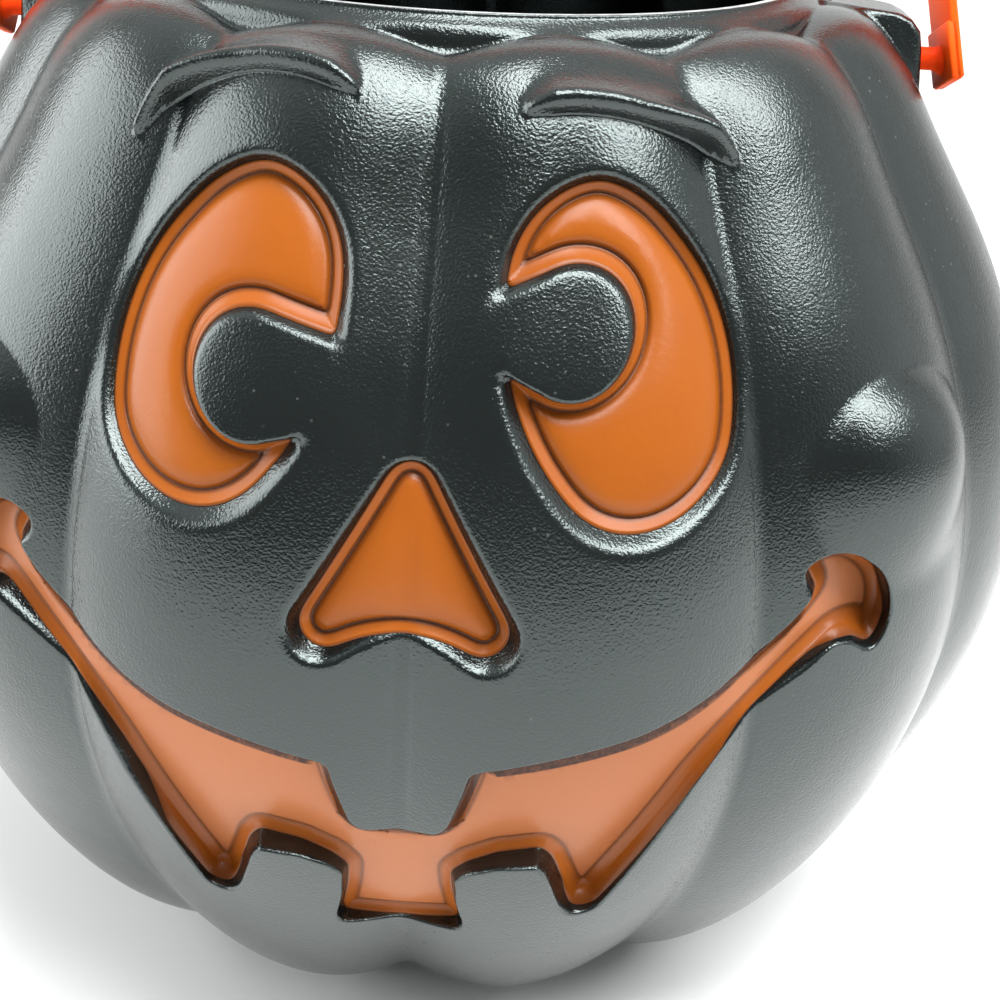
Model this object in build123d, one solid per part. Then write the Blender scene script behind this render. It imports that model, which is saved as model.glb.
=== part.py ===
from build123d import *
import math
import os

# Pumpkin candy pail: millimetres, +Z up, origin on the floor under the middle of the body.
# The face looks along -Y and the handle turns about an axis along X.

# Shell
body_radius = 108.0       # lobe crests at the widest level
body_height = 181.0       # floor to the cut edge of the mouth ring
wall = 1.5
groove_depth = 4.6        # below the crests at the widest level
lobe_count = 12
ring_radius = 57.5        # outside of the mouth ring
ring_height = 3.0
cut_overrun = 5.0

# Crest profile: level as a share of the shoulder height, radius as a share of the body radius
crest_shares = (
    (0.000, 0.475),
    (0.032, 0.580),
    (0.075, 0.680),
    (0.184, 0.830),
    (0.325, 0.943),
    (0.490, 1.000),
    (0.650, 0.971),
    (0.793, 0.877),
    (0.904, 0.764),
    (0.965, 0.698),
    (1.000, 0.620),
)

# Face recesses and the paint in them
eye_depth = 3.2
mouth_depth = 1.2         # below the bottoms of the grooves, for the nose too
paint_thickness = 0.6
paint_gap = 0.05          # under the paint
panel_line_width = 0.9    # fine groove round the eye and nose panels
panel_line_depth = 0.35
panel_border = 2.2        # painted border outside that groove

eye_width = 34.0
eye_height = 45.2
eye_spread = 11.2         # middle of the face to the inner side of an eye
eye_bottom_share = 0.653  # heights on the face are shares of the body height
eye_start_shares = (0.36, 0.983)
eye_stroke_shares = (     # arcs from the top round the inner side: a point passed through and an end
    ((0.12, 0.90), (0.00, 0.68)),
    ((0.075, 0.36), (0.28, 0.115)),
    ((0.68, 0.00), (0.975, 0.19)),
    ((0.94, 0.50), (0.68, 0.825)),
    ((0.50, 0.94), (0.36, 0.983)),
)
pupil_radius = 8.4
left_pupil_shares = (0.35, 0.40)
right_pupil_shares = (0.29, 0.572)
left_pupil_taper = 14     # degrees that each edge of the pupil closes in towards the nose
right_pupil_taper = 23

nose_width = 30.0
nose_height = 27.0
nose_bottom_share = 0.5525
nose_arch = 3.2
nose_round = 3.8

mouth_width = 139.4
mouth_height = 64.4
mouth_bottom_share = 0.260
mouth_start_shares = (0.089, 0.335)
mouth_stroke_shares = (   # right half, from the foot of the upper tooth to the bottom: lines and arcs
    ((0.119, 0.373),),
    ((0.154, 0.547),),
    ((0.387, 0.607), (0.603, 0.686)),
    ((0.746, 0.780), (0.861, 0.901)),
    ((0.829, 0.969),),
    ((0.964, 0.957), (0.987, 0.780)),
    ((0.921, 0.811),),
    ((0.789, 0.652), (0.663, 0.498)),
    ((0.535, 0.342), (0.415, 0.113)),
    ((0.333, 0.227),),
    ((0.296, 0.262),),
    ((0.146, 0.196),),
    ((0.119, 0.158),),
    ((0.131, 0.000),),
)

# Brows and cheeks, raised on the shell
brow_radius = 2.2
brow_lift = 0.4
left_brow_angles = (-33.5, -22.0, -9.5)
left_brow_shares = (0.907, 0.960, 0.953)
right_brow_angles = (9.0, 20.0, 32.0)
right_brow_shares = (0.952, 0.950, 0.903)
cheek_radius = 26.0
cheek_rise = 4.6
cheek_angle = 45.0
cheek_share = 0.646

# Ears that carry the handle, hollow like the rest of the shell
pivot_drop = 12.4         # mouth edge down to the pivot
ear_width = 14.0
ear_stand = 1.8           # past the lobe crests at the pivot
ear_rise = 8.0            # pivot up to the top of the ear
ear_slope = 2.4
ear_draft = 4.0           # degrees, the outer side leans in towards the top
ear_root = 13.0           # pivot down to where the ear is lost in the shell

# Handle: one flat strap with a thick pad and a snap peg at each end
strap_width = 15.0
strap_thickness = 1.5
strap_tilt = 11.0         # each leg leans in towards the top
strap_lean = 19.0         # the whole handle leans back as it stands
leg_length = 40.0
pad_step = 0.7
pad_up = 5.5
pad_down = 4.5
peg_radius = 2.0
peg_clearance = 0.1
peg_reach = 4.5           # ear to pad
peg_root = 1.4
peg_flare = 0.8
head_radius = 3.3
head_length = 2.4
head_play = 0.35

shoulder_height = body_height - ring_height
pivot_height = body_height - pivot_drop
lobe_step = 360.0 / lobe_count


def on_angle(radius, angle, level):
    turn = math.radians(angle)
    return Vector(radius * math.sin(turn), -radius * math.cos(turn), level)


def stations(inset):
    # Crest points of the profile, moved inwards along the profile's own normals
    points = [(radius * body_radius, level * shoulder_height) for level, radius in crest_shares]
    moved = []
    for index, (radius, level) in enumerate(points):
        before = points[max(index - 1, 0)]
        after = points[min(index + 1, len(points) - 1)]
        across = after[0] - before[0]
        up = after[1] - before[1]
        length = math.hypot(across, up)
        moved.append((radius - inset * up / length, level + inset * across / length))
    return moved


def crest_radius(level):
    points = stations(0)
    for low, high in zip(points, points[1:]):
        if low[1] <= level <= high[1]:
            part = (level - low[1]) / (high[1] - low[1])
            return low[0] + part * (high[0] - low[0])
    return ring_radius


def lobed_section(radius, level):
    groove = radius * (1 - groove_depth / body_radius)
    arcs = []
    for lobe in range(lobe_count):
        start = on_angle(groove, lobe * lobe_step, level)
        crest = on_angle(radius, (lobe + 0.5) * lobe_step, level)
        end = on_angle(groove, (lobe + 1) * lobe_step, level)
        arcs.append(ThreePointArc(start, crest, end))
    return make_face(arcs)


def lobed_body(inset):
    return loft([lobed_section(radius, level) for radius, level in stations(inset)])


def smooth_body(inset):
    points = stations(inset)
    side = Spline([(0, radius, level) for radius, level in points])
    foot = (0, 0, points[0][1])
    top = (0, 0, points[-1][1])
    edges = [side, Line(side @ 1, top), Line(top, foot), Line(foot, side @ 0)]
    return revolve(make_face(edges), axis=Axis.Z)


def front_prism(outline):
    # From well inside the body out past the front of it
    start = body_radius / 4
    return extrude(Plane.XZ.offset(start) * outline, amount=body_radius + cut_overrun - start, dir=(0, -1, 0))


def strokes(start, steps, place):
    # Lines to one point, arcs through one point to the next, each from where the last one ended
    edges = []
    for step in steps:
        if len(step) == 1:
            edges.append(Line(place(start), place(step[0])))
        else:
            edges.append(ThreePointArc(place(start), place(step[0]), place(step[1])))
        start = step[-1]
    return edges


def eye_outline(side, pupil, taper):
    # An egg with the pupil left out: round at the outer side and open towards the nose
    bottom = eye_bottom_share * body_height

    def place(share):
        return (side * (eye_spread + share[0] * eye_width), bottom + share[1] * eye_height)

    egg = make_face(strokes(eye_start_shares, eye_stroke_shares, place))
    slant = math.radians(taper)
    tangent = (-side * pupil_radius * math.sin(slant), pupil_radius * math.cos(slant))
    reach = -side * eye_width / 2
    closing = tangent[1] - abs(reach - tangent[0]) * math.tan(slant)
    corners = [tangent, (reach, closing), (reach, -closing), (tangent[0], -tangent[1])]
    return egg - Location(place(pupil)) * (Circle(pupil_radius) + make_face(Polyline(*corners, close=True)))


def nose_outline():
    # Corner centres joined by two straight sides and an arched under side, grown by the corner round
    bottom = nose_bottom_share * body_height + nose_round
    left = (nose_round - nose_width / 2, bottom)
    right = (nose_width / 2 - nose_round, bottom)
    top = (0, bottom + nose_height - 2 * nose_round)
    under = ThreePointArc(left, (0, bottom + nose_arch), right)
    return offset(make_face([under, Line(right, top), Line(top, left)]), nose_round)


def mouth_outline():
    bottom = mouth_bottom_share * body_height
    halves = []
    for side in (-1, 1):
        def place(share):
            return (side * share[0] * mouth_width / 2, bottom + share[1] * mouth_height)

        halves.append(strokes(mouth_start_shares, mouth_stroke_shares, place))
    left, right = halves
    joins = [Line(left[0] @ 0, right[0] @ 0), Line(left[-1] @ 1, right[-1] @ 1)]
    return make_face(left + right + joins)


def brow(angles, shares):
    places = []
    for angle, share in zip(angles, shares):
        level = share * body_height
        places.append(on_angle(crest_radius(level) + brow_lift - groove_depth / 2, angle, level))
    ridge = ThreePointArc(*places)
    bar = sweep(Plane(origin=ridge @ 0, z_dir=ridge % 0) * Circle(brow_radius), path=ridge)
    return bar + [Pos(ridge @ end) * Sphere(brow_radius) for end in (0, 1)]


def cheek(side, inset):
    level = cheek_share * body_height
    centre = on_angle(crest_radius(level) + cheek_rise - cheek_radius, side * cheek_angle, level)
    return Pos(centre) * Sphere(cheek_radius - inset)


def ear_face(height, inset):
    # Outer side of an ear, at a height above the pivot
    return crest_radius(pivot_height) + ear_stand - inset - height * math.tan(math.radians(ear_draft))


def ear(inset):
    # Side view of one ear, pushed out to its width; the inset copy is its hollow
    low = inset - ear_root
    top = ear_rise - inset
    outline = Polyline(
        (ring_radius, low),
        (ear_face(low, inset), low),
        (ear_face(top - ear_slope, inset), top - ear_slope),
        (ear_face(top, inset) - ear_slope, top),
        (ring_radius, top),
        close=True,
    )
    side = Plane.XZ.offset(inset - ear_width / 2) * Pos(0, pivot_height) * make_face(outline)
    return extrude(side, amount=ear_width - 2 * inset)


def both_sides(piece):
    return piece + mirror(piece, about=Plane.YZ)


def shell_blank():
    ring_foot = shoulder_height - ring_height
    ring = Cylinder(ring_radius, 2 * ring_height, align=(Align.CENTER, Align.CENTER, Align.MIN))
    brows = brow(left_brow_angles, left_brow_shares) + brow(right_brow_angles, right_brow_shares)
    body = lobed_body(0) + Pos(0, 0, ring_foot) * ring
    return body + both_sides(cheek(1, 0)) + both_sides(ear(0)) + brows


def shell_hollow():
    bore_foot = shoulder_height - ring_height - wall
    bore = Cylinder(ring_radius - wall, body_height, align=(Align.CENTER, Align.CENTER, Align.MIN))
    peg_hole = Cylinder(peg_radius + peg_clearance, 2 * body_radius, rotation=(0, 90, 0))
    hollow = lobed_body(wall) + Pos(0, 0, bore_foot) * bore
    hollow += Pos(0, 0, pivot_height) * peg_hole
    return hollow + both_sides(cheek(1, wall)) + both_sides(ear(wall))


def recess(outline, floor):
    return front_prism(outline) - floor


def backing(outline, blank, floor):
    # The wall behind a recess, as thick as the rest of the shell
    return recess(offset(outline, wall), floor) & blank


def paint(outline, top, seat):
    return recess(outline, seat) - recess(outline, top)


def panel_line(outline, floor):
    inner = panel_border + panel_line_width
    return front_prism(offset(outline, -panel_border) - offset(outline, -inner)) - floor


def strap():
    pad_face = ear_face(0, 0) + peg_reach
    tilt = math.radians(strap_tilt)
    outward = (math.cos(tilt), math.sin(tilt))

    def leg_point(along, out):
        across = pad_face + out * outward[0] - along * math.sin(tilt)
        return (across, along * math.cos(tilt) + out * outward[1])

    def flipped(point):
        return (-point[0], point[1])

    outer = pad_step + strap_thickness
    arch_edges = []
    for out in (pad_step, outer):
        foot = leg_point(-pad_down, out)
        knee = leg_point(leg_length, out)
        bend = knee[0] / outward[0]
        crown = (0, knee[1] + bend - bend * outward[1])
        arch_edges += [Line(foot, knee), Line(flipped(foot), flipped(knee))]
        arch_edges.append(ThreePointArc(knee, crown, flipped(knee)))
    for turn in (tuple, flipped):
        arch_edges.append(Line(turn(leg_point(-pad_down, pad_step)), turn(leg_point(-pad_down, outer))))
    arch = extrude(Plane.XZ * make_face(arch_edges), amount=strap_width / 2, both=True)
    pad_ends = [leg_point(-pad_down, 0), leg_point(pad_up, 0)]
    pad_ends += [leg_point(pad_up, outer), leg_point(-pad_down, outer)]
    pad = extrude(Plane.XZ * make_face(Polyline(*pad_ends, close=True)), amount=strap_width / 2, both=True)

    sideways = Plane(origin=(0, 0, 0), x_dir=(0, 1, 0), z_dir=(1, 0, 0))
    head_end = ear_face(head_radius, wall) - head_play
    base = (Align.CENTER, Align.CENTER, Align.MIN)
    peg = Cylinder(peg_radius, pad_face + outer - head_end, align=base)
    head = Cone(peg_radius, head_radius, head_length, align=base)
    root = Cone(peg_radius, peg_radius + peg_flare, peg_root, align=base)
    snap = sideways.offset(head_end) * peg
    snap += sideways.offset(head_end - head_length) * head
    snap += sideways.offset(pad_face - peg_root) * root
    upright = arch + both_sides(pad + snap)
    return Pos(0, 0, pivot_height) * Rot(-strap_lean, 0, 0) * upright


blank = shell_blank()
eye_floor = lobed_body(eye_depth)
eye_back = lobed_body(eye_depth + wall)
eye_seat = lobed_body(eye_depth - paint_gap)
eye_top = lobed_body(eye_depth - paint_thickness)
eye_line = lobed_body(eye_depth - paint_thickness + panel_line_depth)
low = groove_depth + mouth_depth
low_floor = smooth_body(low)
low_back = smooth_body(low + wall)
low_seat = smooth_body(low - paint_gap)
low_top = smooth_body(low - paint_thickness)
low_line = smooth_body(low - paint_thickness + panel_line_depth)

left_eye = eye_outline(-1, left_pupil_shares, left_pupil_taper)
right_eye = eye_outline(1, right_pupil_shares, right_pupil_taper)
nose = nose_outline()
mouth = mouth_outline()

face_fields = (
    (left_eye, eye_back, eye_floor),
    (right_eye, eye_back, eye_floor),
    (nose, low_back, low_floor),
    (mouth, low_back, low_floor),
)
shell = blank - shell_hollow()
for outline, back, floor in face_fields:
    shell += backing(outline, blank, back)
for outline, back, floor in face_fields:
    shell -= recess(outline, floor)

pieces = {
    "pail_shell": shell,
    "left_eye_paint": paint(left_eye, eye_top, eye_seat) - panel_line(left_eye, eye_line),
    "right_eye_paint": paint(right_eye, eye_top, eye_seat) - panel_line(right_eye, eye_line),
    "nose_paint": paint(nose, low_top, low_seat) - panel_line(nose, low_line),
    "mouth_paint": paint(mouth, low_top, low_seat),
    "handle": strap(),
}

os.makedirs("parts", exist_ok=True)
for name, piece in pieces.items():
    export_step(piece, "parts/" + name + ".step")
    print(name, round(piece.volume), len(piece.solids()), piece.is_valid)
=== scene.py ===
import bpy
import numpy as np
from math import cos, pi, radians, sin, sqrt, tan
from mathutils import Matrix, Vector
from mathutils.geometry import delaunay_2d_cdt


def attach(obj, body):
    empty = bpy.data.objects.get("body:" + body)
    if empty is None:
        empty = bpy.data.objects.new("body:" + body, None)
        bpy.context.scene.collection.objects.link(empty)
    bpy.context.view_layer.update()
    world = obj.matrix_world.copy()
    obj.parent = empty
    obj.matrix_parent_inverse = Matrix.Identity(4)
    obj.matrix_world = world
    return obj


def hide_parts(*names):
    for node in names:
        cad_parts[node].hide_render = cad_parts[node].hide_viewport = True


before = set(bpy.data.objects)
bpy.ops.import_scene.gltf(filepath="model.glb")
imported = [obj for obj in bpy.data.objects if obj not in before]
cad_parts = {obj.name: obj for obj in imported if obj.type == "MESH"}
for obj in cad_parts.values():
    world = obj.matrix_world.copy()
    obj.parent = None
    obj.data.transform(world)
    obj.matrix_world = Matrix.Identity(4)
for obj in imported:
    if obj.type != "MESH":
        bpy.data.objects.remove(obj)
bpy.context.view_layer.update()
scene = bpy.context.scene
join = np.concatenate
mm = 0.001  # lengths are in millimetres until a mesh is made
flat = 100.0  # width of a radian in a flat drawing of the body

pail = {
    "bodyRadius": 108, "bodyHeight": 181, "ringHeight": 3, "ringRadius": 57.5, "wall": 1.5,
    "lobes": 12, "grooveDepth": 4.6, "grooveRound": 1.8,
    "grooveFootShare": 1.2,  # how much deeper a groove is towards the foot
    "grooveFootReach": 34, "slotWidth": 2.4, "slotDepth": 0.16,
    "slotEdge": [(0.48, 1), (0.68, 0)],  # share of the depth by share of the width
    "slotFoot": 75,
    "slotFades": (25, 12),  # at its foot and at the ring
    "fingerLength": 6,  # the lobes end like fingertips at both ends
    "footLength": 8, "fingerGapShare": 0.32, "pocketDepth": 0.8, "pocketRound": 1,
    "crestShares": [  # level and radius, as shares of the shoulder's level and the body radius
        (0, 0.475), (0.032, 0.58), (0.075, 0.68), (0.184, 0.83), (0.325, 0.943), (0.49, 1),
        (0.65, 0.971), (0.793, 0.877), (0.904, 0.764), (0.965, 0.698), (1, 0.62),
    ],
    "lobeTip": (60.9, 178.7),  # radius and level where a crest meets the flange of the ring
    "flange": (60.2, 178.9),
    "rimOutside": [(0, 0.35), (0, 0.2), (0.2, 0)],  # inset and drop from the top corner
    "rimInside": [(0.2, 0), (0, 0.25), (0, 3), (0, 5.5)],
    "innerFloor": 4.2,
    "innerShares": (0.9, 0.6, 0.3, 0.06),
    "basePush": 2,
    "baseShares": [(0.93, 0), (0.88, 0.35), (0.82, 1), (0.6, 1), (0.3, 1), (0.06, 1)],
    "rowStep": 2.6, "columnsPerLobe": 18,
    "faceTurn": 60,  # degrees each side of the middle that get the fine mesh
    "faceFoot": 33,  # level where the fine mesh starts
    "fineStep": 0.75, "fineColumns": 140,
}
shoulder = pail["bodyHeight"] - pail["ringHeight"]


def smoothMax(a, b, soft):
    overlap = np.maximum(soft - np.abs(a - b), 0) / soft
    return np.maximum(a, b) + overlap * overlap * soft / 4


def smoothMin(a, b, soft):
    return -smoothMax(-a, -b, soft)


def unit(value):  # kept from 0 to 1
    return np.clip(value, 0, 1)


def lookUp(value, pairs):
    places, results = zip(*pairs)
    return np.interp(value, places, results)


def stacked(*parts):
    return np.stack(parts, -1)


def circle(turns):
    return stacked(np.cos(turns), np.sin(turns))


def lengthOne(vectors):
    return vectors / np.maximum(np.linalg.norm(vectors, axis=1), 1e-9)[:, None]


def chordReach(points):  # distance along a line of points
    return join([[0], np.cumsum(np.linalg.norm(np.diff(points, axis=0), axis=1))])


def softened(values, passes):  # round a closed line
    for _ in range(passes):
        values = (np.roll(values, 1, 0) + 2 * values + np.roll(values, -1, 0)) / 4
    return values


def rightOf(vectors):  # length one, a quarter turn clockwise
    return lengthOne(vectors)[:, ::-1] * np.array([1, -1])


def toSegments(points, start, edge):  # from the nearest place on each segment to each point
    rel = points[:, None] - start
    share = unit((rel * edge).sum(2) / (edge ** 2).sum(1))
    return rel - share[..., None] * edge


def smoothCurve(points):  # natural cubic spline by chord length
    points = np.array(points, float)
    knots = chordReach(points)
    step = np.diff(knots)
    system = np.eye(len(knots))
    for i in range(1, len(step)):
        system[i, i - 1:i + 2] = step[i - 1], 2 * (step[i - 1] + step[i]), step[i]
    slope = np.diff(points, axis=0) / step[:, None]
    bend = np.linalg.solve(system, np.pad(6 * np.diff(slope, axis=0), ((1, 1), (0, 0))))

    def at(along):
        along = np.asarray(along, float)
        i = np.clip(np.searchsorted(knots, along) - 1, 0, len(step) - 1)
        h = step[i][..., None]
        past = (along - knots[i])[..., None]
        left = h - past
        spot = (bend[i] * left ** 3 + bend[i + 1] * past ** 3) / (6 * h)
        spot = spot + (points[i] / h - bend[i] * h / 6) * left
        return spot + (points[i + 1] / h - bend[i + 1] * h / 6) * past

    return at, knots[-1]


crestPoints = [(r * pail["bodyRadius"], l * shoulder) for l, r in pail["crestShares"]]
crestAt, crestLength = smoothCurve(crestPoints + [pail["lobeTip"]])


def crestNormal(along):
    return rightOf(crestAt(along + 0.2) - crestAt(along - 0.2))


def alongAt(level):  # where on the crest profile a level lies
    run = np.linspace(0, crestLength, 800)
    return np.interp(level, crestAt(run)[:, 1], run)


def lobeDepth(turn, along, radius):  # how far the surface lies below the crests
    half = pi / pail["lobes"]
    fall = 1 - pail["grooveDepth"] / pail["bodyRadius"]
    middle = (1 - fall ** 2) / (2 * (1 - fall * cos(half)))

    def arc(angle):
        square = (1 - middle) ** 2 - (middle * np.sin(angle)) ** 2
        return middle * np.cos(angle) + np.sqrt(np.maximum(square, 0.02))

    across = np.abs((turn / (2 * half)) % 1 - 0.5) * 2 * half  # from the crest
    toRing = crestLength - along
    fromRing = unit(1 - toRing / pail["fingerLength"])
    nearEnd = np.maximum(fromRing, unit(1 - along / pail["footLength"]))
    gap = pail["fingerGapShare"] * (1 - np.sqrt(1 - nearEnd ** 2))
    own = radius * arc(np.minimum(across / (1 - gap), 1.6 * half))
    other = radius * arc(2 * half - across)
    valley = np.where(gap > 0, radius * fall - pail["pocketDepth"] * fromRing, other)
    depth = radius - smoothMax(own, smoothMin(valley, other, pail["pocketRound"]), pail["grooveRound"])
    footFade, ringFade = pail["slotFades"]
    slot = pail["slotDepth"] * lookUp((half - across) * radius / pail["slotWidth"], pail["slotEdge"])
    slot = slot * unit(toRing / ringFade) * unit((along - pail["slotFoot"]) / footFade)
    return depth * (1 + pail["grooveFootShare"] * np.exp(-(along / pail["grooveFootReach"]) ** 2)) + slot


def plainPoint(turn, along, inset=0.0):  # lobed body, with the direction to move along
    along = np.broadcast_to(along, turn.shape)
    spot = crestAt(along)
    normal = crestNormal(along)
    spot = spot - normal * (lobeDepth(turn, along, spot[:, 0]) + inset)[:, None]
    around = stacked(np.sin(turn), -np.cos(turn))
    point = join([around * spot[:, :1], spot[:, 1:]], 1)
    return point, join([around * normal[:, :1], normal[:, 1:]], 1)


brows = {
    "left": [
        (-44.3, 163.4), (-38.7, 168.2), (-32.4, 171.9), (-26.5, 173.9), (-19.4, 174.2), (-14.1, 173.2),
        (-11.2, 172.2),
    ],
    "right": [
        (12.6, 171), (15, 171.5), (20.4, 171.8), (26.5, 170.9), (33.1, 168.6), (38.5, 165.9),
        (42.6, 164.2),
    ],
    "section": [  # height of the bead by distance above its line
        (-2.2, 0), (-1.9, -0.2), (-1.6, -0.4), (-1.35, -0.25), (-1.2, 0.5), (-1, 1.35), (-0.75, 1.95),
        (-0.4, 2.45), (0, 2.75), (0.5, 2.85), (1, 2.7), (1.6, 2.25), (2.4, 1.6), (3.4, 0.95), (4.6, 0.4),
        (6.2, 0),
    ],
    "meshRows": 12, "height": 2.85,
    "endTaper": 4, "endShare": 0.15, "thinShare": 0.25, "halfSpan": 32, "margin": 12,
    "grooveFill": 0.8,  # depth of groove that the bead doesn't fill
    "radius": 72,  # of the body where the brows are unrolled
    "firstRadius": 75,
}
cheek = {
    "turn": 46, "level": 121, "width": 21, "above": 14.5, "below": 20, "rise": 4.8,
    "crispTowards": 115,
    "crispness": (1.4, 0.5),
}
cheekAlong = alongAt(cheek["level"])


def strandDistance(points, strand):  # below zero under the strand
    gap = toSegments(points, strand[:-1], np.diff(strand, axis=0))
    far = np.hypot(gap[..., 0], gap[..., 1])
    near = far.argmin(1)
    pick = np.arange(len(points))
    return far[pick, near] * np.where(gap[pick, near, 1] < 0, -1, 1)


def browStrand(side):  # the line of a brow on the unrolled body
    spots = np.array(brows[side])
    run = alongAt(spots[:, 1])
    for _ in range(6):
        point = plainPoint(np.arcsin(spots[:, 0] / brows["firstRadius"]), run)[0]
        run = run + (spots[:, 1] - point[:, 2]) * 1.4
    radius = np.hypot(point[:, 0], point[:, 1])
    curve, length = smoothCurve(stacked(np.arcsin(spots[:, 0] / radius) * brows["radius"], run))
    return curve(np.linspace(0, length, 60))


browStrands = [browStrand(side) for side in ("left", "right")]


def besideBrow(spot, strand):
    inSpan = np.abs(spot[:, 0] - strand[:, 0].mean()) < brows["halfSpan"]
    return np.nonzero(inSpan & (spot[:, 1] > strand[:, 1].min() - brows["margin"]))[0]


def bumpedPoint(turn, along):  # the body with brows and cheeks
    along = np.broadcast_to(along, turn.shape)
    point, out = plainPoint(turn, along)
    rise = np.zeros(len(point))
    spot = stacked(turn * brows["radius"], along)
    for strand in browStrands:
        near = besideBrow(spot, strand)
        if len(near):
            fromEnd = np.minimum(spot[near, 0] - strand[:, 0].min(), strand[:, 0].max() - spot[near, 0])
            full = np.sqrt(unit(fromEnd / brows["endTaper"] + brows["endShare"]))
            width = brows["thinShare"] + (1 - brows["thinShare"]) * full
            bead = lookUp(strandDistance(spot[near], strand) / width, brows["section"]) * full
            groove = lobeDepth(turn[near], along[near], brows["radius"]) - brows["grooveFill"]
            rise[near] += bead * (1 + np.maximum(groove, 0) / brows["height"])
    above = along - cheekAlong
    for side in (-1, 1):
        u = side * (turn - side * radians(cheek["turn"])) * flat / cheek["width"]
        v = above / np.where(above > 0, cheek["above"], cheek["below"])
        inside = unit(1 - u ** 2 - v ** 2)
        plain, more = cheek["crispness"]
        crisp = plain - more * np.cos(np.arctan2(v, u) - radians(cheek["crispTowards"]))
        rise = np.maximum(rise, cheek["rise"] * inside ** crisp)
    return point + out * rise[:, None], out


# Outlines of the painted fields, in the plane of the face
eye = {
    "width": 34, "height": 45.2, "spread": 11.2, "bottom": 118.2,
    "strokeShares": [
        (0.12, 0.9, 0, 0.68), (0.075, 0.36, 0.28, 0.115), (0.68, 0, 0.975, 0.19),
        (0.94, 0.5, 0.68, 0.825), (0.5, 0.94, 0.36, 0.983),
    ],
    "pupilRadius": 8.4,
    "pupilShares": {"left": (0.35, 0.4), "right": (0.29, 0.572)},
    "pupilTapers": {"left": 14, "right": 23},  # degrees that its edges close in towards the nose
    "lip": [  # depth by distance outside the eye
        (-6, 9), (-1.8, 3.7), (-1.45, 3.3), (-0.8, 2.85), (0, 2.3), (0.5, 1.45), (1, 0.7), (1.5, 0.25),
        (2, 0.06), (2.6, 0),
    ],
    "pupilLip": [
        (-1.3, 0), (-0.9, 0.06), (-0.5, 0.3), (-0.2, 0.9), (0.1, 1.9), (0.5, 2.6), (0.9, 2.95), (1.45, 3.3),
        (1.8, 3.7), (6, 9),
    ],
    "pillow": [
        (0, 8), (1.45, 4.5), (1.8, 3.7), (2.15, 3.15), (2.65, 2.8), (3.5, 2.5), (4.6, 2.35), (7.5, 2.2),
    ],
    "offsets": [3.2, 2.6, 2, 1.5, 1, 0.5, 0, -0.4, -0.8, -1.15, -1.45, -1.8, -2.15, -2.65, -3.5, -4.6],
    "pupilOffsets": [-1.3, -0.9, -0.5, -0.2],
    "band": (-5, 3.6),  # filled by the rows of the mesh beside the outline
    "paintedGrooveShade": [(-2.5, 0), (-2.1, 0.4), (-1.8, 0.9), (-1.5, 0.6), (-1.2, 0)],  # painted shade: the paint is darkened in the groove round the panel
}
nose = {
    "width": 30, "height": 27, "bottom": 100, "arch": 3.2, "round": 3.8,
    "corners": [(1, -100, 35), (0, 20, 160), (-1, 145, 280)],  # side, and the arc's degrees
    "wall": [(-6, -6), (-1.8, 0), (-1.45, 0.3), (-0.8, 0.75), (0, 1.5), (1, 3.7), (12, 28)],
    "pillow": [
        (-12, 1.7), (-6, 1.6), (-3.6, 1.35), (-2.65, 1), (-2.15, 0.6), (-1.8, 0), (-1.45, -0.7), (0, -5),
    ],
    "lipSoft": 1.4,
    "offsets": [
        4.6, 3.7, 3, 2.4, 1.9, 1.5, 1.1, 0.7, 0.35, 0, -0.4, -0.8, -1.15, -1.45, -1.8, -2.15, -2.65, -3.6,
    ],
    "band": (-4, 5),
    # painted shade: the paint is darkened in the groove round the nose's panel
    "paintedGrooveShade": [(-2.6, 0), (-2.15, 0.5), (-1.8, 1), (-1.45, 0.7), (-1.15, 0)],
}
mouth = {
    "start": (5.6, 68),
    "strokes": [  # half the mouth from the upper tooth: a place, or one to pass and one to reach
        (7.6, 70), (9.7, 77), (10.8, 81.6), (21, 84.3, 33.8, 87.4), (47.6, 93.6, 60, 104.6),
        (57.8, 108.6), (61.8, 110.2, 66.6, 108.3), (70.6, 103.2, 70.9, 96.6), (69.7, 94.5), (66.6, 97),
        (63.4, 97.2), (52.6, 87.9, 43.4, 76.2), (36.8, 63.8, 31.3, 53.2), (30.2, 51), (27.4, 50.4),
        (26, 52.6), (23.4, 61.4), (21.6, 63.9), (15, 63.2), (10.4, 60.9), (8, 58.4), (8.3, 53), (9.3, 47),
        (9.1, 44.5),
    ],
    "upperTooth": (12, 66),
    "floorDepth": 5.8,  # below the crests, deeper than the grooves
    "fillet": [(-12, 0), (-2.6, 0), (-2.1, -0.12), (-1.8, 0.02), (-1.3, 0.28), (-0.7, 0.8), (0, 1.6)],
    "lowerSlopes": [  # rise of the wall in each millimetre, from left to right
        (-66, 6), (-63, 2.4), (-42, 2.4), (-36, 5), (47, 5), (51, 3), (59, 3), (63, 6),
    ],
    "upperSlope": 6, "lowerSoft": 1.9, "upperSoft": 1,
    "creep": [  # how far the paint climbs the lower wall
        (-66, 0.3), (-62, 0), (-40, 0), (-36, 0.65), (-27.5, 0.65), (-25.5, 0), (25.5, 0), (27.5, 0.65),
        (46, 0.65), (50, 0.05), (60, 0.05), (63, 0.5),
    ],
    "stripEnd": 58,  # painted shade: a dark strip under the upper lip, sized so that a thin dark line shows just below the lip
    "stripShares": (0.67, 0.12),
    "stripWidth": 0.25, "stripLeast": 0.35,
    "offsets": [
        4, 3, 2.3, 1.8, 1.45, 1.2, 1, 0.85, 0.7, 0.55, 0.4, 0.2, 0, -0.35, -0.7, -1.3, -1.8, -2.1, -2.6,
    ],
    "band": (-2.9, 4.3),
    # painted shade: the paint is darkened in the crease at the foot of the lower wall
    "paintedGrooveShade": [(-2.6, 0), (-2.1, 0.7), (-1.8, 0.35), (-1.3, 0)],
}
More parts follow.
